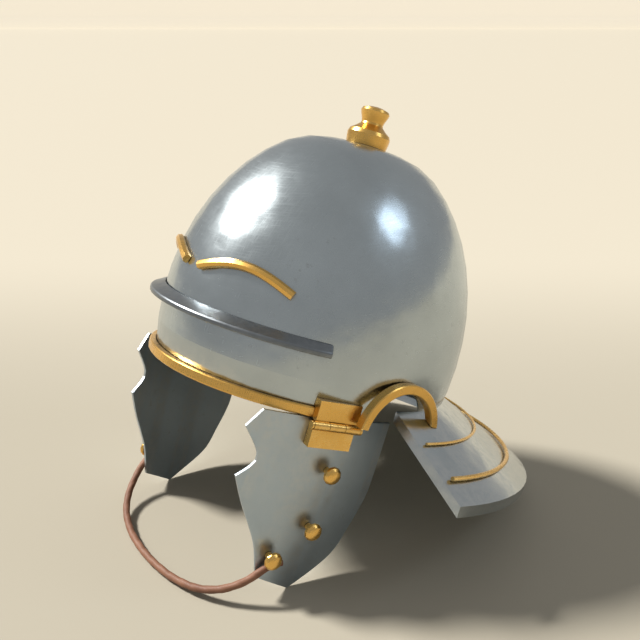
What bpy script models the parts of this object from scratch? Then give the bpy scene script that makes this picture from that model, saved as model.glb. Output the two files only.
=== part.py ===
"""Roman legionary helmet of the Imperial Gallic pattern, standing on a level surface.

Iron bowl with a raised neck guard, peak, hinged cheek guards and a leather chin lace; brass brow trim,
eyebrows, ear guards, crest knob, hinges, bosses and neck guard wires.

The pieces are modelled in the helmet's own frame: Z up from the level brow rim at z = 0, the face towards
-Y and the wearer's left at +X. That frame is tipped back so that the helmet stands on the tips of its cheek
guards and the rear edge of its neck guard.
"""
import math

import bmesh
import bpy
from mathutils import Matrix, Vector

MM = 0.001

SEAT_GAP = 0.3 * MM

# Bowl: an ellipsoid cut off at the brow rim and flattened at the crown
BOWL_HALF_WIDTH = 103.0 * MM
BOWL_HALF_LENGTH = 115.8 * MM
BOWL_RISE = 142.3 * MM
WIDEST_ABOVE_RIM = 36.7 * MM
CROWN_SHARE = 0.86
CROWN_FLATNESS = 0.38
BOWL_WALL = 1.5 * MM

# Round ear opening in each side of the bowl
EAR_OPENING_RADIUS = 29.0 * MM
EAR_CENTRE_Z = -7.0 * MM

# Neck guard, spread from the bowl behind the ears
NECK_JOIN_Z = 8.0 * MM
NECK_RIM_Z = 5.0 * MM
NECK_HALF_WIDTH = 162.0 * MM
NECK_HALF_LENGTH = 194.0 * MM
NECK_REACH = 205.7 * MM
NECK_EDGE_Z = -29.5 * MM
NECK_HALF_ANGLE = math.radians(90.0)
NECK_FLANGE = 7.5 * MM
NECK_SHEET = 1.5 * MM
NECK_BITE = 0.45 * MM

# Brass wires on the neck guard: shares of the way out from the bowl
INNER_WIRE_SHARE = 0.37
OUTER_WIRE_SHARE = 0.742
INNER_WIRE_DIAMETER = 2.0 * MM
OUTER_WIRE_DIAMETER = 3.2 * MM
WIRE_HALF_ANGLE = math.radians(87.5)

# Peak across the brow
PEAK_HALF_ANGLE = math.radians(56.5)
PEAK_TOP_Z = 44.0 * MM
PEAK_RIDGE_Z = 39.2 * MM
PEAK_BOTTOM_Z = 36.0 * MM
PEAK_REACH_FRONT = 10.3 * MM
PEAK_REACH_END = 5.6 * MM

# Brass trim folded under the brow rim
TRIM_TOP_Z = 3.2 * MM
TRIM_BOTTOM_Z = -3.5 * MM
TRIM_PROUD_FRONT = 5.5 * MM
TRIM_PROUD_SIDE = 2.0 * MM
TRIM_CHAMFER = 0.8 * MM
TRIM_EAR_MARGIN = 1.5 * MM
TRIM_LIP_CLEARANCE = 0.2 * MM

# Eyebrow bars
EYEBROW_START = math.radians(4.0)
EYEBROW_END = math.radians(39.5)
EYEBROW_END_Z = 65.8 * MM
EYEBROW_ARCH = 8.7 * MM
EYEBROW_DIAMETER = 6.2 * MM
EYEBROW_SUNK = 1.6 * MM

# Ear guards: flat half rings over the ear openings
ARCH_INNER_RADIUS = 29.5 * MM
ARCH_BAR_WIDTH = 6.5 * MM
ARCH_DEPTH = 6.0 * MM
ARCH_FRONT_END = math.radians(8.0)
ARCH_REAR_END = math.radians(2.0)
ARCH_CHAMFER = 0.7 * MM

# Crest knob: radius and height shares from its top down to its foot
KNOB_RADIUS = 15.7 * MM
KNOB_HEIGHT = 28.5 * MM
KNOB_FOOT = 3.0 * MM
KNOB_PROFILE = (
    # radius, height
    (0.00, 1.000),
    (0.34, 0.972),
    (0.61, 0.925),
    (0.67, 0.860),
    (0.62, 0.770),
    (0.53, 0.650),
    (0.50, 0.585),
    (0.53, 0.530),
    (0.72, 0.440),
    (0.93, 0.360),
    (1.00, 0.270),
    (0.98, 0.150),
    (0.94, 0.020),
)

# Hinge of each cheek guard
HINGE_INSET = 5.8 * MM
HINGE_OFFSET_Y = -45.5 * MM
HINGE_AXIS_Z = -6.2 * MM
HINGE_TOE_IN = math.radians(13.0)
BARREL_RADIUS = 3.0 * MM
BARREL_LENGTH = 33.0 * MM
MIDDLE_KNUCKLE = 11.0 * MM
PIN_RADIUS = 1.5 * MM
PIN_HEAD_RADIUS = 2.9 * MM
PIN_HEAD = 1.2 * MM
LEAF_WIDTH = 30.0 * MM
UPPER_LEAF_HEIGHT = 15.7 * MM
UPPER_LEAF_FACE = -0.4 * MM
LOWER_LEAF_HEIGHT = 15.0 * MM
LOWER_LEAF_FACE = -1.6 * MM

# Cheek guards
CHEEK_TOE_IN = math.radians(9.5)
CHEEK_TILT = math.radians(3.5)
CHEEK_SETBACK = 8.0 * MM
CHEEK_THICKNESS = 2.0 * MM
CHEEK_DISH = 6.0 * MM
CHEEK_HALF_WIDTH = 53.6 * MM
CHEEK_HEIGHT = 121.5 * MM
CHEEK_TOP_GAP = 0.8 * MM
CHEEK_OUTLINE = (
    # across from front (-1) to back (1), down from the top edge, pointed corner
    (-0.856, 0.000, True),
    (-1.000, 0.103, True),
    (-0.757, 0.258, False),
    (-0.942, 0.374, True),
    (-0.776, 0.516, False),
    (-0.600, 0.640, False),
    (-0.446, 0.760, False),
    (-0.317, 0.933, True),
    (0.177, 1.000, True),
    (0.677, 0.806, False),
    (0.845, 0.631, False),
    (0.965, 0.456, False),
    (0.975, 0.319, False),
    (0.963, 0.173, False),
    (0.946, 0.000, True),
)
CHEEK_BOSSES = (
    # across, down
    (0.175, 0.285),
    (0.175, 0.617),
    (-0.240, 0.795),
)

# Bosses on the cheek guards
BOSS_HEAD_RADIUS = 6.2 * MM
BOSS_HEAD_HEIGHT = 5.5 * MM
BOSS_NECK_RADIUS = 2.5 * MM
BOSS_NECK_HEIGHT = 6.1 * MM

# Chin lace, caught under the heads of the two lowest bosses and lying on the floor in front.
# Half of its route, from the wearer's left cheek guard to the middle: across, forward of the cheek
# guard's lowest boss, height above the floor.
LACE_DIAMETER = 5.2 * MM
LACE_POINT_SPACING = 8.0 * MM
LACE_ROUTE = (
    (1.7 * MM, -7.0 * MM, 24.6 * MM),
    (0.5 * MM, 0.0 * MM, 25.6 * MM),
    (-0.9 * MM, 8.0 * MM, 22.5 * MM),
    (-6.0 * MM, 18.0 * MM, 16.0 * MM),
    (-16.0 * MM, 29.0 * MM, 9.8 * MM),
    (-31.0 * MM, 38.0 * MM, 5.4 * MM),
    (-51.0 * MM, 44.0 * MM, 3.3 * MM),
    (-70.0 * MM, 46.6 * MM, 2.8 * MM),
    (-89.6 * MM, 47.2 * MM, 2.8 * MM),
)

# Facets
BOWL_AROUND = 48
BOWL_UP = 24
NECK_STEPS = 40
ARC_STEPS = 24
TURNED_STEPS = 24
BOSS_STEPS = 12


def clear_scene():
    for thing in list(bpy.data.objects):
        bpy.data.objects.remove(thing, do_unlink=True)


def new_collection(name):
    made = bpy.data.collections.new(name)
    bpy.context.scene.collection.children.link(made)
    return made


def new_material(name, color, metallic, roughness):
    made = bpy.data.materials.new(name)
    made.use_nodes = True
    shader = made.node_tree.nodes["Principled BSDF"]
    shader.inputs["Base Color"].default_value = (*color, 1.0)
    shader.inputs["Metallic"].default_value = metallic
    shader.inputs["Roughness"].default_value = roughness
    made.diffuse_color = (*color, 1.0)
    return made


def new_empty(name, collection, parent=None, location=(0.0, 0.0, 0.0), rotation=(0.0, 0.0, 0.0)):
    made = bpy.data.objects.new(name, None)
    made.location = location
    made.rotation_euler = rotation
    made.parent = parent
    collection.objects.link(made)
    return made


def mesh_from(build, name, smooth_angle=None):
    """Mesh filled by build(bm), with its faces turned outwards."""
    mesh = bpy.data.meshes.new(name)
    bm = bmesh.new()
    build(bm)
    bm.to_mesh(mesh)
    bm.free()
    if smooth_angle is not None:
        mesh.shade_smooth()
        mesh.set_sharp_from_angle(angle=smooth_angle)
    return mesh


def add_part(name, mesh, material, parent, location=(0.0, 0.0, 0.0), rotation=(0.0, 0.0, 0.0)):
    made = bpy.data.objects.new(name, mesh)
    mesh.materials.append(material)
    made.location = location
    made.rotation_euler = rotation
    made.parent = parent
    PARTS.objects.link(made)
    return made


def add_cutter(name, mesh, parent, location=(0.0, 0.0, 0.0), rotation=(0.0, 0.0, 0.0)):
    made = bpy.data.objects.new(name, mesh)
    made.location = location
    made.rotation_euler = rotation
    made.parent = parent
    made.hide_render = True
    made.display_type = "WIRE"
    CUTTERS.objects.link(made)
    return made


def combine(target, other, operation):
    modifier = target.modifiers.new(f"{operation.lower()} {other.name}", "BOOLEAN")
    modifier.operation = operation
    modifier.solver = "EXACT"
    modifier.object = other


def bowl_radius(azimuth, z, half_width, half_length):
    """Distance from the axis to an ellipsoid with the bowl's rise, azimuth 0 at the brow."""
    level = math.sqrt(1.0 - ((z - WIDEST_ABOVE_RIM) / BOWL_RISE) ** 2)
    across = math.sin(azimuth) / (half_width * level)
    along = math.cos(azimuth) / (half_length * level)
    return 1.0 / math.hypot(across, along)


def outer_radius(azimuth, z):
    return bowl_radius(azimuth, z, BOWL_HALF_WIDTH, BOWL_HALF_LENGTH)


def at_azimuth(azimuth, radius, z):
    return Vector((radius * math.sin(azimuth), -radius * math.cos(azimuth), z))


def crown_height(share):
    """Height of the flattened crown where the plain ellipsoid has this one, both as shares of its rise."""
    past = max(share - CROWN_SHARE, 0.0) / (1.0 - CROWN_SHARE)
    return min(share, CROWN_SHARE) + (1.0 - CROWN_SHARE) * (past - CROWN_FLATNESS * past * past)


def build_ellipsoid(bm, extra):
    bmesh.ops.create_uvsphere(bm, u_segments=BOWL_AROUND, v_segments=BOWL_UP, radius=1.0)
    for vert in bm.verts:
        vert.co.z = crown_height(vert.co.z)
    size = Matrix.Diagonal((BOWL_HALF_WIDTH + extra, BOWL_HALF_LENGTH + extra, BOWL_RISE + extra, 1.0))
    bmesh.ops.transform(bm, matrix=Matrix.Translation((0.0, 0.0, WIDEST_ABOVE_RIM)) @ size, verts=bm.verts)


def build_bowl_surface(bm):
    build_ellipsoid(bm, 0.0)
    everything = bm.verts[:] + bm.edges[:] + bm.faces[:]
    bmesh.ops.bisect_plane(bm, geom=everything, dist=0.00001, plane_co=(0.0, 0.0, 0.0),
                           plane_no=(0.0, 0.0, 1.0), clear_inner=True)


def build_box(bm, low, high):
    low = Vector(low)
    high = Vector(high)
    size = Matrix.Diagonal((*(high - low), 1.0))
    bmesh.ops.create_cube(bm, size=1.0, matrix=Matrix.Translation((low + high) / 2.0) @ size)


def build_cylinder(bm, radius, start, end, segments):
    """Cylinder along Y between two places on that axis."""
    turned = Matrix.Rotation(math.radians(90.0), 4, "X")
    placed = Matrix.Translation((0.0, (start + end) / 2.0, 0.0)) @ turned
    bmesh.ops.create_cone(bm, cap_ends=True, segments=segments, radius1=radius, radius2=radius,
                          depth=end - start, matrix=placed)


def build_loft(bm, sections):
    """Closed solid through closed sections with equally many points."""
    rings = [[bm.verts.new(point) for point in section] for section in sections]
    count = len(rings[0])
    for near, far in zip(rings, rings[1:]):
        for k in range(count):
            bm.faces.new((near[k], near[(k + 1) % count], far[(k + 1) % count], far[k]))
    bm.faces.new(rings[0])
    bm.faces.new(rings[-1])
    bmesh.ops.recalc_face_normals(bm, faces=bm.faces[:])


def turned_part(name, profile, steps, material, parent, location, rotation):
    """Solid of revolution about Z from (radius, height) points listed from the top down."""
    def build(bm):
        points = [bm.verts.new((radius, 0.0, height)) for radius, height in profile]
        for upper, lower in zip(points, points[1:]):
            bm.edges.new((upper, lower))
    made = add_part(name, mesh_from(build, name), material, parent, location, rotation)
    screw = made.modifiers.new("turn", "SCREW")
    screw.axis = "Z"
    screw.angle = math.tau
    screw.steps = steps
    screw.render_steps = steps
    screw.use_merge_vertices = True
    screw.merge_threshold = 0.00001
    screw.use_smooth_shade = True
    return made


def smooth_route(points, spacing):
    """Points at an even spacing along a smooth curve through the given points."""
    fine = []
    last = len(points) - 1
    for k in range(last):
        before = points[max(k - 1, 0)]
        here = points[k]
        there = points[k + 1]
        after = points[min(k + 2, last)]
        for step in range(24):
            s = step / 24
            fine.append(0.5 * (2.0 * here + (there - before) * s
                               + (2.0 * before - 5.0 * here + 4.0 * there - after) * s * s
                               + (3.0 * here - before - 3.0 * there + after) * s ** 3))
    fine.append(points[last])
    along = [0.0]
    for one, two in zip(fine, fine[1:]):
        along.append(along[-1] + (two - one).length)
    count = max(2, round(along[-1] / spacing))
    route = []
    k = 0
    for step in range(count + 1):
        target = along[-1] * step / count
        while k < len(fine) - 2 and along[k + 1] < target:
            k += 1
        share = (target - along[k]) / (along[k + 1] - along[k])
        route.append(fine[k].lerp(fine[k + 1], share))
    return route


def tube_mesh(name, points, radius, bevel_resolution):
    """Round bar with flat ends along the points, as a closed mesh."""
    curve = bpy.data.curves.new(name, "CURVE")
    curve.dimensions = "3D"
    curve.bevel_depth = radius
    curve.bevel_resolution = bevel_resolution
    curve.use_fill_caps = True
    spline = curve.splines.new("POLY")
    spline.points.add(len(points) - 1)
    for place, point in zip(spline.points, points):
        place.co = (*point, 1.0)
    guide = bpy.data.objects.new(name, curve)
    CUTTERS.objects.link(guide)
    bpy.context.view_layer.update()
    mesh = bpy.data.meshes.new_from_object(guide.evaluated_get(bpy.context.evaluated_depsgraph_get()))
    bpy.data.objects.remove(guide)
    bm = bmesh.new()
    bm.from_mesh(mesh)
    bmesh.ops.remove_doubles(bm, verts=bm.verts[:], dist=0.000001)
    bmesh.ops.recalc_face_normals(bm, faces=bm.faces[:])
    bm.to_mesh(mesh)
    bm.free()
    mesh.shade_smooth()
    mesh.set_sharp_from_angle(angle=math.radians(50.0))
    return mesh


def mirrored_part(source, name):
    """The wearer's right-hand copy of a finished left-hand piece."""
    bpy.context.view_layer.update()
    seen = source.evaluated_get(bpy.context.evaluated_depsgraph_get())
    mesh = bpy.data.meshes.new_from_object(seen)
    mesh.transform(HELMET.matrix_world.inverted() @ source.matrix_world)
    mesh.transform(Matrix.Diagonal((-1.0, 1.0, 1.0, 1.0)))
    mesh.flip_normals()
    made = bpy.data.objects.new(name, mesh)
    made.parent = HELMET
    PARTS.objects.link(made)
    return made


def neck_point(theta, share, raised=0.0):
    """Top face of the neck guard: theta 0 at the back, share 0 in the bowl's wall and 1 at the edge."""
    level = math.sqrt(1.0 - ((NECK_JOIN_Z - WIDEST_ABOVE_RIM) / BOWL_RISE) ** 2)
    inner = Vector(((BOWL_HALF_WIDTH * level - NECK_BITE) * math.sin(theta),
                    (BOWL_HALF_LENGTH * level - NECK_BITE) * math.cos(theta),
                    NECK_JOIN_Z + raised))
    outer = Vector((NECK_HALF_WIDTH * math.sin(theta),
                    NECK_REACH - NECK_HALF_LENGTH + NECK_HALF_LENGTH * math.cos(theta),
                    NECK_EDGE_Z + raised))
    return inner.lerp(outer, share)


def neck_thetas(half_angle, steps):
    return [half_angle * (2.0 * k / steps - 1.0) for k in range(steps + 1)]


def build_neck_top(bm, raised):
    shares = (0.0, INNER_WIRE_SHARE, OUTER_WIRE_SHARE, 1.0)
    thetas = neck_thetas(NECK_HALF_ANGLE, NECK_STEPS)
    rows = [[bm.verts.new(neck_point(theta, share, raised)) for theta in thetas] for share in shares]
    for near, far in zip(rows, rows[1:]):
        for k in range(NECK_STEPS):
            bm.faces.new((near[k], near[k + 1], far[k + 1], far[k]))
    return rows


def build_neck_guard(bm):
    """Top face with its outer edge and both front edges turned straight down."""
    rows = build_neck_top(bm, 0.0)
    drop = Vector((0.0, 0.0, -NECK_FLANGE))
    lowered = [bm.verts.new(vert.co + drop) for vert in rows[-1]]
    for k in range(NECK_STEPS):
        bm.faces.new((rows[-1][k], rows[-1][k + 1], lowered[k + 1], lowered[k]))
    right = [bm.verts.new(row[0].co + drop) for row in rows[:-1]] + [lowered[0]]
    left = [bm.verts.new(row[-1].co + drop) for row in rows[:-1]] + [lowered[-1]]
    for k in range(len(rows) - 1):
        bm.faces.new((right[k], rows[k][0], rows[k + 1][0], right[k + 1]))
        bm.faces.new((rows[k][-1], left[k], left[k + 1], rows[k + 1][-1]))


def solidify(thing, thickness):
    modifier = thing.modifiers.new("thickness", "SOLIDIFY")
    modifier.thickness = thickness
    modifier.offset = -1.0
    modifier.use_even_offset = True


def make_bowl():
    bowl = add_part("helmet_bowl", mesh_from(build_bowl_surface, "bowl"), IRON, HELMET)
    solidify(bowl, BOWL_WALL)
    width = 3.0 * BOWL_HALF_WIDTH

    def build_rear(bm):
        build_box(bm, (-width, 0.0, -BOWL_RISE), (width, 2.0 * BOWL_HALF_LENGTH, NECK_RIM_Z))

    def build_ears(bm):
        build_cylinder(bm, EAR_OPENING_RADIUS, -width, width, 2 * TURNED_STEPS)

    rear = add_cutter("rear rim", mesh_from(build_rear, "rear rim"), HELMET)
    ears = add_cutter("ear openings", mesh_from(build_ears, "ear openings"), HELMET,
                      (0.0, 0.0, EAR_CENTRE_Z), (0.0, 0.0, math.radians(90.0)))
    guard = add_cutter("neck guard sheet", mesh_from(build_neck_guard, "neck guard sheet"), HELMET)
    solidify(guard, NECK_SHEET)
    combine(bowl, rear, "DIFFERENCE")
    combine(bowl, ears, "DIFFERENCE")
    combine(bowl, guard, "UNION")


def make_peak():
    def build(bm):
        sections = []
        for k in range(ARC_STEPS + 1):
            azimuth = PEAK_HALF_ANGLE * (2.0 * k / ARC_STEPS - 1.0)
            share = (azimuth / PEAK_HALF_ANGLE) ** 2
            reach = PEAK_REACH_FRONT + (PEAK_REACH_END - PEAK_REACH_FRONT) * share
            sections.append([
                at_azimuth(azimuth, outer_radius(azimuth, PEAK_TOP_Z) + SEAT_GAP, PEAK_TOP_Z),
                at_azimuth(azimuth, outer_radius(azimuth, PEAK_RIDGE_Z) + reach, PEAK_RIDGE_Z),
                at_azimuth(azimuth, outer_radius(azimuth, PEAK_BOTTOM_Z) + reach, PEAK_BOTTOM_Z),
                at_azimuth(azimuth, outer_radius(azimuth, PEAK_BOTTOM_Z) + SEAT_GAP, PEAK_BOTTOM_Z),
            ])
        build_loft(bm, sections)
    add_part("brow_peak", mesh_from(build, "brow peak", math.radians(30.0)), DARK_IRON, HELMET)


def trim_radius(azimuth, extra):
    """Outer face of the brow trim: an ellipse that stands further proud at the front."""
    level = math.sqrt(1.0 - (WIDEST_ABOVE_RIM / BOWL_RISE) ** 2)
    across = math.sin(azimuth) / (BOWL_HALF_WIDTH * level + TRIM_PROUD_SIDE + extra)
    along = math.cos(azimuth) / (BOWL_HALF_LENGTH * level + TRIM_PROUD_FRONT + extra)
    return 1.0 / math.hypot(across, along)


def trim_half_angle():
    """Azimuth at which the trim stops short of the ear opening."""
    level = math.sqrt(1.0 - (WIDEST_ABOVE_RIM / BOWL_RISE) ** 2)
    ahead = math.sqrt(EAR_OPENING_RADIUS ** 2 - EAR_CENTRE_Z ** 2) + TRIM_EAR_MARGIN
    across = BOWL_HALF_WIDTH * level * math.sqrt(1.0 - (ahead / (BOWL_HALF_LENGTH * level)) ** 2)
    return math.atan2(across, ahead)


def make_trim():
    reach = trim_half_angle()

    def build(bm):
        sections = []
        for k in range(ARC_STEPS + 1):
            azimuth = reach * (2.0 * k / ARC_STEPS - 1.0)
            face = trim_radius(azimuth, 0.0)
            rim = outer_radius(azimuth, 0.0)
            lip = rim - BOWL_WALL - TRIM_LIP_CLEARANCE
            sections.append([
                at_azimuth(azimuth, outer_radius(azimuth, TRIM_TOP_Z) + SEAT_GAP, TRIM_TOP_Z),
                at_azimuth(azimuth, face - TRIM_CHAMFER, TRIM_TOP_Z),
                at_azimuth(azimuth, face, TRIM_TOP_Z - TRIM_CHAMFER),
                at_azimuth(azimuth, face, TRIM_BOTTOM_Z + TRIM_CHAMFER),
                at_azimuth(azimuth, face - TRIM_CHAMFER, TRIM_BOTTOM_Z),
                at_azimuth(azimuth, lip, TRIM_BOTTOM_Z),
                at_azimuth(azimuth, lip, -SEAT_GAP),
                at_azimuth(azimuth, rim + SEAT_GAP, -SEAT_GAP),
            ])
        build_loft(bm, sections)

    def build_seat(bm):
        sections = []
        for k in range(ARC_STEPS + 1):
            azimuth = (reach + math.radians(3.0)) * (2.0 * k / ARC_STEPS - 1.0)
            face = trim_radius(azimuth, SEAT_GAP)
            core = outer_radius(azimuth, 0.0) - 4.0 * BOWL_WALL
            low = TRIM_BOTTOM_Z - SEAT_GAP
            high = TRIM_TOP_Z + SEAT_GAP
            sections.append([
                at_azimuth(azimuth, core, high),
                at_azimuth(azimuth, face, high),
                at_azimuth(azimuth, face, low),
                at_azimuth(azimuth, core, low),
            ])
        build_loft(bm, sections)

    add_part("brow_trim", mesh_from(build, "brow trim", math.radians(30.0)), BRASS, HELMET)
    return add_cutter("trim seat", mesh_from(build_seat, "trim seat"), HELMET)


def make_eyebrow(seat):
    points = []
    for k in range(ARC_STEPS // 2 + 1):
        share = 2.0 * k / ARC_STEPS
        azimuth = EYEBROW_START + (EYEBROW_END - EYEBROW_START) * share
        z = EYEBROW_END_Z + EYEBROW_ARCH * math.sin(math.pi * share)
        proud = EYEBROW_DIAMETER / 2.0 - EYEBROW_SUNK
        points.append(at_azimuth(azimuth, outer_radius(azimuth, z) + proud, z))
    left = add_part("eyebrow_left", tube_mesh("eyebrow", points, EYEBROW_DIAMETER / 2.0, 2), BRASS, HELMET)
    combine(left, seat, "DIFFERENCE")
    mirrored_part(left, "eyebrow_right")


def make_ear_guard():
    inner_face = BOWL_HALF_WIDTH + SEAT_GAP
    outer_face = inner_face + ARCH_DEPTH
    inner = ARCH_INNER_RADIUS
    outer = inner + ARCH_BAR_WIDTH

    def build(bm):
        sections = []
        for k in range(ARC_STEPS + 1):
            turn = ARCH_FRONT_END + (math.pi - ARCH_REAR_END - ARCH_FRONT_END) * k / ARC_STEPS
            out = Vector((0.0, -math.cos(turn), math.sin(turn)))
            middle = Vector((0.0, 0.0, EAR_CENTRE_Z))
            inside = Vector((inner_face, 0.0, 0.0))
            outside = Vector((outer_face, 0.0, 0.0))
            chamfer = Vector((ARCH_CHAMFER, 0.0, 0.0))
            sections.append([
                middle + inside + out * inner,
                middle + outside - chamfer + out * inner,
                middle + outside + out * (inner + ARCH_CHAMFER),
                middle + outside + out * (outer - ARCH_CHAMFER),
                middle + outside - chamfer + out * outer,
                middle + inside + out * outer,
            ])
        build_loft(bm, sections)

    def build_seat(bm):
        build_neck_top(bm, SEAT_GAP)

    left = add_part("ear_guard_left", mesh_from(build, "ear guard", math.radians(30.0)), BRASS, HELMET)
    seat = add_cutter("ear guard foot", mesh_from(build_seat, "ear guard foot"), HELMET)
    solidify(seat, ARCH_INNER_RADIUS)
    combine(left, seat, "DIFFERENCE")
    mirrored_part(left, "ear_guard_right")


def make_knob(seat):
    profile = [(radius * KNOB_RADIUS, height * KNOB_HEIGHT) for radius, height in KNOB_PROFILE]
    profile += [(profile[-1][0], -KNOB_FOOT), (0.0, -KNOB_FOOT)]
    crown = (0.0, 0.0, WIDEST_ABOVE_RIM + BOWL_RISE * crown_height(1.0))
    knob = turned_part("crest_knob", profile, TURNED_STEPS, BRASS, HELMET, crown, (0.0, 0.0, 0.0))
    combine(knob, seat, "DIFFERENCE")


def make_wires():
    for name, share, diameter in (("neck_wire_inner", INNER_WIRE_SHARE, INNER_WIRE_DIAMETER),
                                  ("neck_wire_outer", OUTER_WIRE_SHARE, OUTER_WIRE_DIAMETER)):
        points = []
        for theta in neck_thetas(WIRE_HALF_ANGLE, NECK_STEPS):
            here = neck_point(theta, share)
            along = neck_point(theta + 0.01, share) - neck_point(theta - 0.01, share)
            outward = neck_point(theta, 1.0) - neck_point(theta, 0.0)
            up = along.cross(outward).normalized()
            points.append(here + up * (diameter / 2.0 + SEAT_GAP))
        add_part(name, tube_mesh(name, points, diameter / 2.0, 2), BRASS, HELMET)


def make_hinge(bowl_seat, trim_seat, hinge):
    half = LEAF_WIDTH / 2.0
    barrel = BARREL_LENGTH / 2.0
    middle = MIDDLE_KNUCKLE / 2.0
    bore = PIN_RADIUS + SEAT_GAP
    clear = BARREL_RADIUS + SEAT_GAP
    over_trim = TRIM_BOTTOM_Z - HINGE_AXIS_Z

    def build_upper(bm):
        build_box(bm, (-4.0 * BARREL_RADIUS, -half, over_trim), (UPPER_LEAF_FACE, half, UPPER_LEAF_HEIGHT))

    def build_upper_foot(bm):
        build_box(bm, (-BARREL_RADIUS, -half, 0.0), (UPPER_LEAF_FACE, half, 2.0 * over_trim))

    def build_lower(bm):
        build_box(bm, (-CHEEK_SETBACK - CHEEK_THICKNESS / 2.0, -half, -LOWER_LEAF_HEIGHT),
                  (LOWER_LEAF_FACE, half, 0.0))

    def build_barrel(bm):
        build_cylinder(bm, BARREL_RADIUS, -barrel, barrel, TURNED_STEPS)

    def build_middle_room(bm):
        build_cylinder(bm, clear, -middle - SEAT_GAP, middle + SEAT_GAP, TURNED_STEPS)

    def build_outer_room(bm):
        build_cylinder(bm, clear, -barrel - PIN_HEAD, -middle, TURNED_STEPS)
        build_cylinder(bm, clear, middle, barrel + PIN_HEAD, TURNED_STEPS)

    def build_bore(bm):
        build_cylinder(bm, bore, -barrel - PIN_HEAD, barrel + PIN_HEAD, TURNED_STEPS)

    def build_pin(bm):
        build_cylinder(bm, PIN_RADIUS, -barrel - PIN_HEAD, barrel + PIN_HEAD, TURNED_STEPS)

    def build_pin_heads(bm):
        start = barrel + SEAT_GAP
        build_cylinder(bm, PIN_HEAD_RADIUS, -start - PIN_HEAD, -start, TURNED_STEPS)
        build_cylinder(bm, PIN_HEAD_RADIUS, start, start + PIN_HEAD, TURNED_STEPS)

    def cutter(name, build):
        return add_cutter(name, mesh_from(build, name), hinge)

    pin_bore = cutter("pin bore", build_bore)
    knuckles = cutter("barrel", build_barrel)
    upper = add_part("hinge_upper_left", mesh_from(build_upper, "upper leaf"), BRASS, hinge)
    combine(upper, bowl_seat, "DIFFERENCE")
    combine(upper, cutter("upper leaf foot", build_upper_foot), "UNION")
    combine(upper, knuckles, "UNION")
    combine(upper, trim_seat, "DIFFERENCE")
    combine(upper, cutter("middle knuckle room", build_middle_room), "DIFFERENCE")
    combine(upper, pin_bore, "DIFFERENCE")

    lower = add_part("hinge_lower_left", mesh_from(build_lower, "lower leaf"), BRASS, hinge)
    combine(lower, CHEEK_SEAT, "DIFFERENCE")
    combine(lower, knuckles, "UNION")
    combine(lower, cutter("outer knuckle room", build_outer_room), "DIFFERENCE")
    combine(lower, pin_bore, "DIFFERENCE")

    pin = add_part("hinge_pin_left", mesh_from(build_pin, "pin", math.radians(40.0)), BRASS, hinge)
    combine(pin, cutter("pin heads", build_pin_heads), "UNION")
    for piece, name in ((upper, "hinge_upper_right"), (lower, "hinge_lower_right"), (pin, "hinge_pin_right")):
        mirrored_part(piece, name)


def cheek_face(across):
    """Outer face of the cheek guard, measured outwards from the hinge axis."""
    return -CHEEK_SETBACK - CHEEK_DISH * (across / CHEEK_HALF_WIDTH) ** 2


def build_cheek_sheet(bm, proud, depth):
    """Dished sheet, larger than the cheek guard, between its outer face plus proud and a depth behind it."""
    reach = 1.1 * CHEEK_HALF_WIDTH
    high = CHEEK_TOP_Z - HINGE_AXIS_Z + 0.1 * CHEEK_HEIGHT
    low = CHEEK_TOP_Z - HINGE_AXIS_Z - 1.1 * CHEEK_HEIGHT
    sections = []
    for k in range(ARC_STEPS + 1):
        across = reach * (2.0 * k / ARC_STEPS - 1.0)
        face = cheek_face(across) + proud
        sections.append([
            Vector((face, across, low)),
            Vector((face, across, high)),
            Vector((face - depth, across, high)),
            Vector((face - depth, across, low)),
        ])
    build_loft(bm, sections)


def cheek_outline():
    """Closed outline: smooth runs between pointed corners."""
    corners = [k for k, row in enumerate(CHEEK_OUTLINE) if row[2]]
    outline = []
    for start, end in zip(corners, corners[1:]):
        run = [Vector((row[0] * CHEEK_HALF_WIDTH, -row[1] * CHEEK_HEIGHT, 0.0))
               for row in CHEEK_OUTLINE[start:end + 1]]
        if len(run) == 2:
            outline.append(run[0])
            continue
        outline += smooth_route(run, CHEEK_HEIGHT / 24.0)[:-1]
    last = CHEEK_OUTLINE[-1]
    outline.append(Vector((last[0] * CHEEK_HALF_WIDTH, -last[1] * CHEEK_HEIGHT, 0.0)))
    return outline


def outline_mesh(name, points, half_thickness):
    """Flat plate with the given outline, as a closed mesh."""
    curve = bpy.data.curves.new(name, "CURVE")
    curve.dimensions = "2D"
    curve.fill_mode = "BOTH"
    curve.extrude = half_thickness
    spline = curve.splines.new("POLY")
    spline.points.add(len(points) - 1)
    for place, point in zip(spline.points, points):
        place.co = (*point, 1.0)
    spline.use_cyclic_u = True
    guide = bpy.data.objects.new(name, curve)
    CUTTERS.objects.link(guide)
    bpy.context.view_layer.update()
    mesh = bpy.data.meshes.new_from_object(guide.evaluated_get(bpy.context.evaluated_depsgraph_get()))
    bpy.data.objects.remove(guide)
    bm = bmesh.new()
    bm.from_mesh(mesh)
    bmesh.ops.remove_doubles(bm, verts=bm.verts[:], dist=0.000001)
    bmesh.ops.recalc_face_normals(bm, faces=bm.faces[:])
    bm.to_mesh(mesh)
    bm.free()
    return mesh


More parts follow.
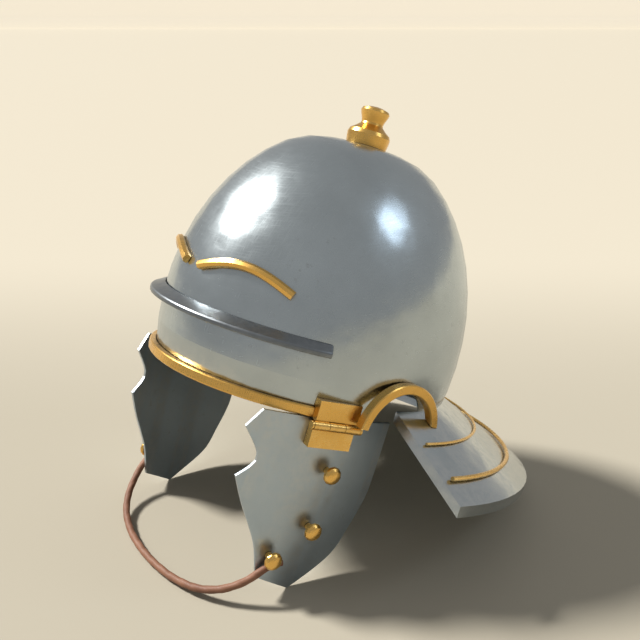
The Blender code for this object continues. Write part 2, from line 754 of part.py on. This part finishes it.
def make_cheek_guard(cheek):
    def build(bm):
        build_cheek_sheet(bm, 0.0, CHEEK_THICKNESS)

    left = add_part("cheek_guard_left", mesh_from(build, "cheek guard", math.radians(30.0)), IRON, cheek)
    plate = outline_mesh("cheek outline", cheek_outline(), 3.0 * CHEEK_SETBACK)
    # The outline's X runs along the hinge and its Y up the plate.
    plate.transform(Matrix(((0.0, 0.0, 1.0, 0.0), (1.0, 0.0, 0.0, 0.0), (0.0, 1.0, 0.0, 0.0), (0.0, 0.0, 0.0, 1.0))))
    shape = add_cutter("cheek outline", plate, cheek, (0.0, 0.0, CHEEK_TOP_Z - HINGE_AXIS_Z))
    combine(left, shape, "INTERSECT")
    mirrored_part(left, "cheek_guard_right")


def make_bosses(cheek):
    neck = BOSS_NECK_HEIGHT
    top = neck + BOSS_HEAD_HEIGHT
    profile = [
        (0.0, top),
        (0.42 * BOSS_HEAD_RADIUS, top - 0.04 * BOSS_HEAD_HEIGHT),
        (0.75 * BOSS_HEAD_RADIUS, top - 0.20 * BOSS_HEAD_HEIGHT),
        (0.95 * BOSS_HEAD_RADIUS, top - 0.48 * BOSS_HEAD_HEIGHT),
        (1.00 * BOSS_HEAD_RADIUS, top - 0.72 * BOSS_HEAD_HEIGHT),
        (0.95 * BOSS_HEAD_RADIUS, top - 0.90 * BOSS_HEAD_HEIGHT),
        (0.84 * BOSS_HEAD_RADIUS, neck),
        (BOSS_NECK_RADIUS, neck),
        (BOSS_NECK_RADIUS, SEAT_GAP),
        (0.0, SEAT_GAP),
    ]
    for k, (across, down) in enumerate(CHEEK_BOSSES, 1):
        place = boss_place(across, down)
        left = turned_part(f"cheek_boss_{k}_left", profile, BOSS_STEPS, BRASS, cheek, place,
                           (0.0, math.radians(90.0), 0.0))
        mirrored_part(left, f"cheek_boss_{k}_right")


def boss_place(across, down):
    """Foot of a boss on the outer face of the cheek guard, in the cheek guard's frame."""
    along = across * CHEEK_HALF_WIDTH
    return Vector((cheek_face(along), along, CHEEK_TOP_Z - HINGE_AXIS_Z - down * CHEEK_HEIGHT))


def make_lace(cheek):
    """Laid lace: its route is given from the lowest boss, and is the same on both sides."""
    bpy.context.view_layer.update()
    foot = cheek.matrix_world @ boss_place(*CHEEK_BOSSES[-1])
    start = foot + Vector((SEAT_GAP + LACE_DIAMETER / 2.0, 0.0, 0.0))
    half = [Vector((start.x + across, start.y - ahead, height)) for across, ahead, height in LACE_ROUTE]
    half[-1].x = 0.0
    points = half + [Vector((-point.x, point.y, point.z)) for point in reversed(half[:-1])]
    route = smooth_route(points, LACE_POINT_SPACING)
    add_part("chin_lace", tube_mesh("chin lace", route, LACE_DIAMETER / 2.0, 2), LEATHER, None)


def cheek_tip():
    """Lowest corner of the cheek guard in the helmet's frame, as distances along Y and Z."""
    tip = max(CHEEK_OUTLINE, key=lambda row: row[1])
    across = tip[0] * CHEEK_HALF_WIDTH
    face = cheek_face(across)
    drop = CHEEK_TOP_Z - tip[1] * CHEEK_HEIGHT - HINGE_AXIS_Z
    out = face * math.cos(CHEEK_TILT) + drop * math.sin(CHEEK_TILT)
    y = HINGE_OFFSET_Y + across * math.cos(CHEEK_TOE_IN) - out * math.sin(CHEEK_TOE_IN)
    return y, HINGE_AXIS_Z + drop * math.cos(CHEEK_TILT) - face * math.sin(CHEEK_TILT)


CHEEK_TOP_Z = TRIM_BOTTOM_Z - CHEEK_TOP_GAP

clear_scene()
PARTS = new_collection("roman_legionary_helmet")
CUTTERS = new_collection("cutters")

IRON = new_material("iron", (0.235, 0.262, 0.270), 1.0, 0.34)
DARK_IRON = new_material("dark_iron", (0.135, 0.147, 0.155), 1.0, 0.38)
BRASS = new_material("brass", (0.571, 0.314, 0.070), 1.0, 0.30)
LEATHER = new_material("leather", (0.180, 0.078, 0.042), 0.0, 0.62)

# The helmet rests on both cheek guard tips and on the lower rear edge of the neck guard.
tip_y, tip_z = cheek_tip()
rear_z = NECK_EDGE_Z - NECK_FLANGE
lean = math.atan2(rear_z - tip_z, NECK_REACH - tip_y)
lift = tip_y * math.sin(lean) - tip_z * math.cos(lean)
front_y = -trim_radius(0.0, 0.0) * math.cos(lean) + TRIM_BOTTOM_Z * math.sin(lean)
back_y = NECK_REACH * math.cos(lean) + NECK_EDGE_Z * math.sin(lean)
HELMET = new_empty("helmet_frame", PARTS, None, (0.0, -(front_y + back_y) / 2.0, lift), (-lean, 0.0, 0.0))

hinge_place = (BOWL_HALF_WIDTH - HINGE_INSET, HINGE_OFFSET_Y, HINGE_AXIS_Z)
hinge_frame = new_empty("hinge_axis_left", PARTS, HELMET, hinge_place, (0.0, 0.0, -HINGE_TOE_IN))
cheek_frame = new_empty("cheek_frame_left", PARTS, HELMET, hinge_place, (0.0, CHEEK_TILT, -CHEEK_TOE_IN))


def build_bowl_seat(bm):
    build_ellipsoid(bm, SEAT_GAP)


def build_cheek_seat(bm):
    build_cheek_sheet(bm, SEAT_GAP, 3.0 * CHEEK_THICKNESS)


BOWL_SEAT = add_cutter("bowl seat", mesh_from(build_bowl_seat, "bowl seat"), HELMET)
CHEEK_SEAT = add_cutter("cheek seat", mesh_from(build_cheek_seat, "cheek seat"), cheek_frame)

make_bowl()
make_peak()
TRIM_SEAT = make_trim()
make_eyebrow(BOWL_SEAT)
make_ear_guard()
make_knob(BOWL_SEAT)
make_wires()
make_hinge(BOWL_SEAT, TRIM_SEAT, hinge_frame)
make_cheek_guard(cheek_frame)
make_bosses(cheek_frame)
make_lace(cheek_frame)
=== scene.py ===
"""Looks for the legionary helmet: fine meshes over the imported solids, procedural metal and leather."""

import math

import bmesh
import bpy
from mathutils import Matrix, Vector, noise


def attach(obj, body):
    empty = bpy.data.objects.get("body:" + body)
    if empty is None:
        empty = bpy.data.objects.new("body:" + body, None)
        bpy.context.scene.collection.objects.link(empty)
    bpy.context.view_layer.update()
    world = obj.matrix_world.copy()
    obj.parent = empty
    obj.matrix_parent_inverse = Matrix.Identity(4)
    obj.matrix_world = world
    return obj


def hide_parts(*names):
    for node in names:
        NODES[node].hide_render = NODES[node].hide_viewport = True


MM = 0.001
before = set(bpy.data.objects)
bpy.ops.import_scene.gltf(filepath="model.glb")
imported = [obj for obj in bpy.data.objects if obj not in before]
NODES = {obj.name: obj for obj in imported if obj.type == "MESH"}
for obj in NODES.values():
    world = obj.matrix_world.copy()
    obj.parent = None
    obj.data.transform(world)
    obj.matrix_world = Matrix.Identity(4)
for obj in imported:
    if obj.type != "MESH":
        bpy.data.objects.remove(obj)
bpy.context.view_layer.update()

# Camera at the photograph's angle, in the row frame. Lengths are in metres, the lens in millimetres.
CAMERA_PLACE = (0.4312, -0.3516, 0.3524)
CAMERA_RIGHT = (0.612, 0.791, 0.0)
CAMERA_UP = (-0.284, 0.219, 0.9338)
CAMERA_LENS = 44.2
CAMERA_SENSOR = 36.0
CAMERA_CLIP = 0.01

# The lace follows the same route as its solid: half of it, from the left boss to the middle.
LACE_HALF = (
    (0.0858, -0.1158, 0.0246),
    (0.0846, -0.1228, 0.0256),
    (0.0832, -0.1308, 0.0225),
    (0.0781, -0.1408, 0.0160),
    (0.0681, -0.1518, 0.0098),
    (0.0531, -0.1608, 0.0054),
    (0.0331, -0.1668, 0.0033),
    (0.0141, -0.1694, 0.0028),
    (0.0, -0.1700, 0.0028),
)
LACE_DIAMETER = 5.2 * MM
LACE_STEPS = 260
LACE_SIDES = 20
CURVE_STEPS = 24

# Its two strands: the length of a full turn, how deep the groove between them is, how blunt their
# lobes are, and the unevenness of their surface.
LACE_TURN = 11.0 * MM
LACE_GROOVE = 0.10
LACE_BLUNTNESS = 0.7
LACE_UNEVENNESS = 0.012
LACE_UNEVENNESS_SCALE = 700.0

# Copies of the solids: which facets are joined, and from which angle an edge stays sharp.
MERGE_DISTANCE = 1e-6
JOIN_FACE_ANGLE = math.radians(4.0)
JOIN_SHAPE_ANGLE = math.radians(50.0)
SHARP_ANGLE = math.radians(26.0)
BEVEL_SEGMENTS = 2
NORMAL_WEIGHT = 90

# Metals: colours of the clean metal, of worn edges and of tarnish, which also gives the painted shade
# in crevices, then the roughness, and the strength and size of the hammer marks.
METALS = {
    "iron_sheet": {
        "base": (0.470, 0.528, 0.560), "worn": (0.56, 0.59, 0.60), "tarnish_and_shade": (0.170, 0.165, 0.155),
        "rough": 0.25, "dents": 0.22, "dent_size": 15.0 * MM,
    },
    "cheek_iron": {
        "base": (0.435, 0.515, 0.590), "worn": (0.50, 0.54, 0.57), "tarnish_and_shade": (0.175, 0.175, 0.170),
        "rough": 0.42, "dents": 0.10, "dent_size": 12.0 * MM,
    },
    "peak_iron": {
        "base": (0.170, 0.188, 0.205), "worn": (0.36, 0.38, 0.40), "tarnish_and_shade": (0.09, 0.085, 0.08),
        "rough": 0.38, "dents": 0.18, "dent_size": 9.0 * MM,
    },
    "worn_brass": {
        "base": (0.800, 0.470, 0.120), "worn": (0.95, 0.68, 0.28), "tarnish_and_shade": (0.25, 0.13, 0.04),
        "rough": 0.30, "dents": 0.12, "dent_size": 6.0 * MM,
    },
}

# Patterns on every metal. A noise is its scale per metre, detail and roughness. A ramp holds pairs
# of pattern value and result.
CLOUD_NOISE = (16.0, 4.0, 0.55)
FLECK_NOISE = (210.0, 5.0, 0.65)
SCRATCH_NOISE_ONE = (90.0, 2.0, 0.6)
SCRATCH_NOISE_TWO = (80.0, 2.0, 0.6)
SCRATCH_STRETCH_ONE = (1.0, 1.0, 22.0)
SCRATCH_STRETCH_TWO = (24.0, 2.0, 1.0)
CLOUD_SHADE = ((0.32, 0.90), (0.68, 1.08))
TARNISH_SPOTS = ((0.60, 0.0), (0.74, 1.0))
TARNISH_CLOUDS = ((0.44, 0.08), (0.66, 0.42))
# Painted shade in crevices: ambient occlusion within this reach darkens the colour towards the dark
# tarnish colour.
CREVICE_REACH = 5.0 * MM
CREVICE_SAMPLES = 8
CREVICE_PAINTED_SHADE = ((0.30, 0.50), (0.80, 0.0))
EDGE_WEAR = ((0.515, 0.0), (0.60, 0.85))
EDGE_BREAKS = ((0.35, 0.25), (0.62, 1.0))
SCRATCH_GLOSS = ((0.45, 0.92), (0.78, 1.14))
TARNISH_DULLNESS = 0.14
EDGE_POLISH = 0.08
DENT_SMOOTHNESS = 0.9
DENT_DEPTH_SHARE = 0.12
SCRATCH_RELIEF = 0.10
SCRATCH_DEPTH = 0.06 * MM
FLECK_RELIEF = 0.12
FLECK_DEPTH = 0.10 * MM

# Leather of the lace.
LEATHER_BASE = (0.180, 0.078, 0.042)
LEATHER_DARK = (0.140, 0.056, 0.030)
LEATHER_LIGHT = (0.235, 0.108, 0.060)
# Colour of the painted shade between the strands.
LEATHER_PAINTED_SHADE = (0.055, 0.022, 0.013)
LEATHER_CLOUD_NOISE = (60.0, 4.0, 0.6)
LEATHER_GRAIN_NOISE = (1400.0, 3.0, 0.6)
LEATHER_CLOUDS = ((0.30, 0.0), (0.70, 1.0))
# Painted shade between the strands: ambient occlusion within this reach darkens the colour.
LEATHER_CREVICE_REACH = 1.5 * MM
LEATHER_CREVICE_SAMPLES = 4
LEATHER_CREVICE_PAINTED_SHADE = ((0.4, 0.7), (0.95, 0.0))
LEATHER_GLOSS = ((0.3, 0.52), (0.7, 0.74))
LEATHER_ROUGHNESS = 0.6
LEATHER_RELIEF = 0.45
LEATHER_DEPTH = 0.25 * MM

# Studio sweep: a flat floor, a curve far behind the helmet and a wall. Lengths are in metres.
FLOOR_FRONT = 16.0
FLOOR_BACK = 30.0
FLOOR_CURVE = 0.5
FLOOR_CURVE_STEPS = 12
FLOOR_WALL = 3.0
FLOOR_HALF = 18.0
FLOOR_GAP = 0.4 * MM
FLOOR_COLOUR = (0.370, 0.340, 0.276)
FLOOR_ROUGHNESS = 0.9
FLOOR_SPECULAR = 0.1

# The floor's glow rises with the distance behind the helmet, and the wall's with the height.
GLOW_COLOUR = (1.0, 0.910, 0.750)
GLOW_START = 0.08
GLOW_END = 0.64
FLOOR_GLOW = 0.22
WALL_GLOW = 0.46
WALL_GLOW_TOP = FLOOR_CURVE * 0.70
WALL_GLOW_POWER = 0.8

# Lights. The key's direction and the cool light's place are shares to the camera's right, towards
# it along the floor, and up.
WORLD_COLOUR = (1.0, 0.985, 0.96)
WORLD_STRENGTH = 0.40
KEY_TOWARD = (1.0, 0.34, -1.15)
KEY_COLOUR = (1.0, 0.97, 0.92)
KEY_STRENGTH = 6.1
KEY_ANGLE = math.radians(10.0)
COOL_FROM = (1.14, 0.20, 0.92)
COOL_TARGET = (0.0, 0.0, 0.15)
COOL_COLOUR = (0.74, 0.86, 1.0)
COOL_POWER = 1.5
COOL_SIZE = 0.38


def make_camera():
    """Camera of the photograph. Returns its directions to the right and backwards."""
    data = bpy.data.cameras.new("camera")
    data.lens = CAMERA_LENS
    data.sensor_width = CAMERA_SENSOR
    data.clip_start = CAMERA_CLIP
    camera = bpy.data.objects.new("camera", data)
    right = Vector(CAMERA_RIGHT).normalized()
    back = right.cross(Vector(CAMERA_UP)).normalized()
    up = back.cross(right)
    turn = Matrix((right, up, back)).transposed().to_4x4()
    camera.matrix_world = Matrix.Translation(CAMERA_PLACE) @ turn
    bpy.context.scene.collection.objects.link(camera)
    bpy.context.scene.camera = camera
    return right, back


def smooth_curve(points, count):
    """Points at an even spacing along a smooth curve through the given points."""
    fine = []
    last = len(points) - 1
    for k in range(last):
        before = points[max(k - 1, 0)]
        here = points[k]
        there = points[k + 1]
        after = points[min(k + 2, last)]
        for step in range(CURVE_STEPS):
            s = step / CURVE_STEPS
            fine.append(0.5 * (2.0 * here + (there - before) * s
                               + (2.0 * before - 5.0 * here + 4.0 * there - after) * s * s
                               + (3.0 * here - before - 3.0 * there + after) * s ** 3))
    fine.append(points[last])
    along = [0.0]
    for one, two in zip(fine, fine[1:]):
        along.append(along[-1] + (two - one).length)
    route = []
    k = 0
    for step in range(count + 1):
        target = along[-1] * step / count
        while k < len(fine) - 2 and along[k + 1] < target:
            k += 1
        share = (target - along[k]) / (along[k + 1] - along[k])
        route.append(fine[k].lerp(fine[k + 1], share))
    return route


def new_object(name, mesh):
    piece = bpy.data.objects.new(name, mesh)
    bpy.context.scene.collection.objects.link(piece)
    return piece


def make_lace(material):
    """Leather thong of two twisted strands: a soft two-lobed section that turns along the route."""
    half = [Vector(point) for point in LACE_HALF]
    points = half + [Vector((-point.x, point.y, point.z)) for point in reversed(half[:-1])]
    route = smooth_curve(points, LACE_STEPS)
    shape = bmesh.new()
    rings = []
    side = Vector((0.0, 0.0, 1.0))
    gone = 0.0
    radius = LACE_DIAMETER / 2.0
    for k, point in enumerate(route):
        ahead = route[min(k + 1, LACE_STEPS)] - route[max(k - 1, 0)]
        ahead.normalize()
        side = (side - ahead * side.dot(ahead)).normalized()
        other = ahead.cross(side)
        if k:
            gone += (point - route[k - 1]).length
        twist = math.tau * gone / LACE_TURN
        ring = []
        for step in range(LACE_SIDES):
            angle = math.tau * step / LACE_SIDES
            lobe = abs(math.sin(angle - twist / 2.0)) ** LACE_BLUNTNESS
            reach = radius * (1.0 - LACE_GROOVE + LACE_GROOVE * lobe)
            uneven = noise.noise(point * LACE_UNEVENNESS_SCALE + Vector((step, 0.0, 0.0)))
            reach = min(reach * (1.0 + LACE_UNEVENNESS * uneven), radius)
            around = side * math.cos(angle) + other * math.sin(angle)
            ring.append(shape.verts.new(point + around * reach))
        rings.append(ring)
    for one, two in zip(rings, rings[1:]):
        for step in range(LACE_SIDES):
            after = (step + 1) % LACE_SIDES
            shape.faces.new((one[step], one[after], two[after], two[step]))
    shape.faces.new(rings[0][::-1])
    shape.faces.new(rings[-1])
    bmesh.ops.recalc_face_normals(shape, faces=shape.faces)
    mesh = bpy.data.meshes.new("lace_thong")
    shape.to_mesh(mesh)
    shape.free()
    mesh.shade_smooth()
    piece = new_object("lace_thong", mesh)
    mesh.materials.append(material)
    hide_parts("chin_lace")
    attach(piece, "root")


def nodes_of(name, base, rough, metallic):
    """New material with its node tree and its shader."""
    material = bpy.data.materials.new(name)
    material.use_nodes = True
    tree = material.node_tree
    shader = tree.nodes["Principled BSDF"]
    shader.inputs["Base Color"].default_value = (*base, 1.0)
    shader.inputs["Roughness"].default_value = rough
    shader.inputs["Metallic"].default_value = metallic
    return material, tree, shader


def ramp(tree, source, stops):
    """Grey ramp over pairs of pattern value and result."""
    node = tree.nodes.new("ShaderNodeValToRGB")
    tree.links.new(source, node.inputs[0])
    while len(node.color_ramp.elements) < len(stops):
        node.color_ramp.elements.new(0.5)
    for element, (place, grey) in zip(node.color_ramp.elements, stops):
        element.position = place
        element.color = (grey, grey, grey, 1.0)
    return node.outputs["Color"]


def noise_of(tree, coords, scale, detail, rough, stretch=None):
    """Noise pattern, squeezed along the axes whose stretch is large."""
    if stretch is not None:
        mapping = tree.nodes.new("ShaderNodeMapping")
        mapping.inputs["Scale"].default_value = stretch
        tree.links.new(coords, mapping.inputs["Vector"])
        coords = mapping.outputs["Vector"]
    node = tree.nodes.new("ShaderNodeTexNoise")
    node.inputs["Scale"].default_value = scale
    node.inputs["Detail"].default_value = detail
    node.inputs["Roughness"].default_value = rough
    tree.links.new(coords, node.inputs["Vector"])
    return node.outputs["Fac"]


def mix_colour(tree, mode, factor, one, two):
    """Mix of two colours. The factor and the colours are values or links."""
    node = tree.nodes.new("ShaderNodeMix")
    node.data_type = "RGBA"
    node.blend_type = mode
    for value, key in ((factor, 0), (one, 6), (two, 7)):
        if isinstance(value, (int, float)):
            node.inputs[key].default_value = value
        elif isinstance(value, tuple):
            node.inputs[key].default_value = (*value, 1.0)
        else:
            tree.links.new(value, node.inputs[key])
    return node.outputs[2]


def maths(tree, operation, one, two):
    """Result of an operation on two numbers or links."""
    node = tree.nodes.new("ShaderNodeMath")
    node.operation = operation
    for k, value in enumerate((one, two)):
        if isinstance(value, (int, float)):
            node.inputs[k].default_value = value
        else:
            tree.links.new(value, node.inputs[k])
    return node.outputs[0]


def bump(tree, height, strength, distance, normal=None):
    """Relief from a height pattern, over the relief that is there already."""
    node = tree.nodes.new("ShaderNodeBump")
    node.inputs["Strength"].default_value = strength
    node.inputs["Distance"].default_value = distance
    tree.links.new(height, node.inputs["Height"])
    if normal is not None:
        tree.links.new(normal, node.inputs["Normal"])
    return node.outputs["Normal"]


def painted_crevice_shade(tree, reach, samples, stops):
    """Painted shade: the ramp over how open the surface is within reach, darker where it is closed in.
    """
    node = tree.nodes.new("ShaderNodeAmbientOcclusion")
    node.inputs["Distance"].default_value = reach
    node.samples = samples
    return ramp(tree, node.outputs["AO"], stops)


def metal(name, base, worn, tarnish_and_shade, rough, dents, dent_size):
    """Hand-worked sheet or casting: hammer marks, fine scratches, tarnish, painted shade in crevices,
    bright worn edges.
    """
    material, tree, shader = nodes_of(name, base, rough, 1.0)
    coords = tree.nodes.new("ShaderNodeTexCoord").outputs["Object"]
    geometry = tree.nodes.new("ShaderNodeNewGeometry")

    cloud = noise_of(tree, coords, *CLOUD_NOISE)
    fleck = noise_of(tree, coords, *FLECK_NOISE)
    scratch_one = noise_of(tree, coords, *SCRATCH_NOISE_ONE, stretch=SCRATCH_STRETCH_ONE)
    scratch_two = noise_of(tree, coords, *SCRATCH_NOISE_TWO, stretch=SCRATCH_STRETCH_TWO)
    scratches = maths(tree, "MAXIMUM", scratch_one, scratch_two)

    colour = mix_colour(tree, "MULTIPLY", 1.0, base, ramp(tree, cloud, CLOUD_SHADE))
    spots = ramp(tree, fleck, TARNISH_SPOTS)
    tarnish = maths(tree, "MULTIPLY", spots, ramp(tree, cloud, TARNISH_CLOUDS))
    colour = mix_colour(tree, "MIX", tarnish, colour, tarnish_and_shade)
    # Painted shade: darker where ambient occlusion finds the surface closed in.
    crevice_shade = painted_crevice_shade(tree, CREVICE_REACH, CREVICE_SAMPLES, CREVICE_PAINTED_SHADE)
    colour = mix_colour(tree, "MIX", crevice_shade, colour, tarnish_and_shade)
    edge = ramp(tree, geometry.outputs["Pointiness"], EDGE_WEAR)
    edge = maths(tree, "MULTIPLY", edge, ramp(tree, fleck, EDGE_BREAKS))
    colour = mix_colour(tree, "MIX", edge, colour, worn)
    tree.links.new(colour, shader.inputs["Base Color"])

    gloss = maths(tree, "MULTIPLY", ramp(tree, scratches, SCRATCH_GLOSS), rough)
    gloss = maths(tree, "ADD", gloss, maths(tree, "MULTIPLY", tarnish, TARNISH_DULLNESS))
    gloss = maths(tree, "SUBTRACT", gloss, maths(tree, "MULTIPLY", edge, EDGE_POLISH))
    tree.links.new(gloss, shader.inputs["Roughness"])

    cells = tree.nodes.new("ShaderNodeTexVoronoi")
    cells.feature = "SMOOTH_F1"
    cells.inputs["Scale"].default_value = 1.0 / dent_size
    cells.inputs["Smoothness"].default_value = DENT_SMOOTHNESS
    tree.links.new(coords, cells.inputs["Vector"])
    normal = bump(tree, cells.outputs["Distance"], dents, dent_size * DENT_DEPTH_SHARE)
    normal = bump(tree, scratches, SCRATCH_RELIEF, SCRATCH_DEPTH, normal)
    normal = bump(tree, fleck, FLECK_RELIEF, FLECK_DEPTH, normal)
    tree.links.new(normal, shader.inputs["Normal"])
    return material


def leather():
    """Dark oiled leather with a fine grain, and painted shade between the strands."""
    material, tree, shader = nodes_of("lace_leather", LEATHER_BASE, LEATHER_ROUGHNESS, 0.0)
    coords = tree.nodes.new("ShaderNodeTexCoord").outputs["Object"]
    cloud = noise_of(tree, coords, *LEATHER_CLOUD_NOISE)
    grain = noise_of(tree, coords, *LEATHER_GRAIN_NOISE)
    clouds = ramp(tree, cloud, LEATHER_CLOUDS)
    colour = mix_colour(tree, "MIX", clouds, LEATHER_DARK, LEATHER_LIGHT)
    # Painted shade between the strands, from ambient occlusion.
    crevice_shade = painted_crevice_shade(tree, LEATHER_CREVICE_REACH, LEATHER_CREVICE_SAMPLES, LEATHER_CREVICE_PAINTED_SHADE)
    colour = mix_colour(tree, "MIX", crevice_shade, colour, LEATHER_PAINTED_SHADE)
    tree.links.new(colour, shader.inputs["Base Color"])
    tree.links.new(ramp(tree, grain, LEATHER_GLOSS), shader.inputs["Roughness"])
    tree.links.new(bump(tree, grain, LEATHER_RELIEF, LEATHER_DEPTH), shader.inputs["Normal"])
    return material


def dress(node_name, piece_name, material, bevel):
    """Fine copy of a solid: joined facets, edges softened by bevel mm, smooth faces between them."""
    shape = bmesh.new()
    shape.from_mesh(NODES[node_name].data)
    bmesh.ops.remove_doubles(shape, verts=shape.verts, dist=MERGE_DISTANCE)
    bmesh.ops.join_triangles(shape, faces=shape.faces, angle_face_threshold=JOIN_FACE_ANGLE,
                             angle_shape_threshold=JOIN_SHAPE_ANGLE)
    mesh = bpy.data.meshes.new(piece_name)
    shape.to_mesh(mesh)
    shape.free()
    mesh.materials.clear()
    mesh.materials.append(material)
    for polygon in mesh.polygons:
        polygon.material_index = 0
    mesh.shade_smooth()
    mesh.set_sharp_from_angle(angle=SHARP_ANGLE)
    piece = new_object(piece_name, mesh)
    if bevel:
        soften = piece.modifiers.new("edges", "BEVEL")
        soften.width = bevel * MM
        soften.segments = BEVEL_SEGMENTS
        soften.limit_method = "ANGLE"
        soften.angle_limit = SHARP_ANGLE
        soften.use_clamp_overlap = True
    even = piece.modifiers.new("even shading", "WEIGHTED_NORMAL")
    even.keep_sharp = True
    even.weight = NORMAL_WEIGHT
    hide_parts(node_name)
    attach(piece, "root")


def faded(tree, source, start, end, most):
    """Smooth rise from nothing at start to the most at end."""
    node = tree.nodes.new("ShaderNodeMapRange")
    node.interpolation_type = "SMOOTHSTEP"
    limits = (("From Min", start), ("From Max", end), ("To Min", 0.0), ("To Max", most))
    for key, value in limits:
        node.inputs[key].default_value = value
    tree.links.new(source, node.inputs["Value"])
    return node.outputs["Result"]


def floor_material(away):
    """Pale floor that glows softly behind the helmet and up the wall, away from the camera."""
    material, tree, shader = nodes_of("floor", FLOOR_COLOUR, FLOOR_ROUGHNESS, 0.0)
    shader.inputs["Specular IOR Level"].default_value = FLOOR_SPECULAR
    coords = tree.nodes.new("ShaderNodeTexCoord").outputs["Object"]
    behind = tree.nodes.new("ShaderNodeVectorMath")
    behind.operation = "DOT_PRODUCT"
    behind.inputs[1].default_value = away
    tree.links.new(coords, behind.inputs[0])
    level = tree.nodes.new("ShaderNodeSeparateXYZ")
    tree.links.new(coords, level.inputs[0])
    rise = maths(tree, "DIVIDE", level.outputs["Z"], WALL_GLOW_TOP)
    rise = maths(tree, "MINIMUM", maths(tree, "MAXIMUM", rise, 0.0), 1.0)
    rise = maths(tree, "MULTIPLY", maths(tree, "POWER", rise, WALL_GLOW_POWER), WALL_GLOW)
    spread = faded(tree, behind.outputs["Value"], GLOW_START, GLOW_END, FLOOR_GLOW)
    tree.links.new(maths(tree, "ADD", spread, rise), shader.inputs["Emission Strength"])
    shader.inputs["Emission Color"].default_value = (*GLOW_COLOUR, 1.0)
    return material


def make_floor():
    """Studio sweep: a pale floor that curves up into a wall far behind the helmet."""
    profile = [(-FLOOR_FRONT, 0.0), (FLOOR_BACK, 0.0)]
    for step in range(1, FLOOR_CURVE_STEPS + 1):
        angle = math.radians(90.0) * step / FLOOR_CURVE_STEPS
        height = FLOOR_CURVE * (1.0 - math.cos(angle))
        profile.append((FLOOR_BACK + FLOOR_CURVE * math.sin(angle), height))
    profile.append((FLOOR_BACK + FLOOR_CURVE, FLOOR_CURVE + FLOOR_WALL))
    shape = bmesh.new()
    rows = []
    for far, height in profile:
        middle = -NEAR * far + SKY * (height - FLOOR_GAP)
        rows.append([shape.verts.new(middle + RIGHT * side * FLOOR_HALF) for side in (-1.0, 1.0)])
    for one, two in zip(rows, rows[1:]):
        shape.faces.new((one[0], one[1], two[1], two[0]))
    bmesh.ops.recalc_face_normals(shape, faces=shape.faces)
    mesh = bpy.data.meshes.new("floor")
    shape.to_mesh(mesh)
    shape.free()
    mesh.shade_smooth()
    mesh.materials.append(floor_material(-NEAR))
    floor = new_object("floor", mesh)
    floor.visible_shadow = False


def add_light(kind, name, colour, strength, place, toward):
    """Lamp at a place that shines toward a direction. Returns its data, for its size."""
    data = bpy.data.lights.new(name, kind)
    data.energy = strength
    data.color = colour
    light = bpy.data.objects.new(name, data)
    light.location = place
    light.rotation_euler = toward.to_track_quat("-Z", "Y").to_euler()
    bpy.context.scene.collection.objects.link(light)
    return data


def from_view(right, near, up):
    """Vector with the given shares to the camera's right, towards it along the floor, and up."""
    return RIGHT * right + NEAR * near + SKY * up


def make_lights():
    """Soft sky, warm key from behind on the left, cool light high on the right."""
    world = bpy.data.worlds.new("studio")
    world.use_nodes = True
    background = world.node_tree.nodes["Background"]
    background.inputs["Color"].default_value = (*WORLD_COLOUR, 1.0)
    background.inputs["Strength"].default_value = WORLD_STRENGTH
    bpy.context.scene.world = world
    bpy.context.scene.view_settings.view_transform = "Standard"
    target = Vector(COOL_TARGET)
    key = add_light("SUN", "key", KEY_COLOUR, KEY_STRENGTH, target, from_view(*KEY_TOWARD))
    key.angle = KEY_ANGLE
    aside = from_view(*COOL_FROM)
    cool = add_light("AREA", "cool", COOL_COLOUR, COOL_POWER, target + aside, -aside)
    cool.size = COOL_SIZE


RIGHT, BACK = make_camera()
SKY = Vector((0.0, 0.0, 1.0))
NEAR = Vector((BACK.x, BACK.y, 0.0)).normalized()
make_lace(leather())

IRON = metal("iron_sheet", **METALS["iron_sheet"])
CHEEK_IRON = metal("cheek_iron", **METALS["cheek_iron"])
PEAK_IRON = metal("peak_iron", **METALS["peak_iron"])
BRASS = metal("worn_brass", **METALS["worn_brass"])

dress("helmet_bowl", "bowl_and_neck_guard", IRON, bevel=0.35)
dress("brow_peak", "peak_band", PEAK_IRON, bevel=0.8)
dress("brow_trim", "brow_trim_strip", BRASS, bevel=0.4)
dress("crest_knob", "turned_knob", BRASS, bevel=0.3)
for wire in ("inner", "outer"):
    dress("neck_wire_" + wire, "guard_wire_" + wire, BRASS, bevel=0)
for side in ("left", "right"):
    dress("eyebrow_" + side, "brow_rib_" + side, BRASS, bevel=0.3)
    dress("ear_guard_" + side, "ear_arch_" + side, BRASS, bevel=0.4)
    dress("hinge_upper_" + side, "upper_leaf_" + side, BRASS, bevel=0.4)
    dress("hinge_lower_" + side, "lower_leaf_" + side, BRASS, bevel=0.4)
    dress("hinge_pin_" + side, "pin_" + side, BRASS, bevel=0.3)
    dress("cheek_guard_" + side, "cheek_plate_" + side, CHEEK_IRON, bevel=0.4)
    for row in ("1", "2", "3"):
        dress("cheek_boss_%s_%s" % (row, side), "boss_%s_%s" % (row, side), BRASS, bevel=0.25)

make_floor()
make_lights()
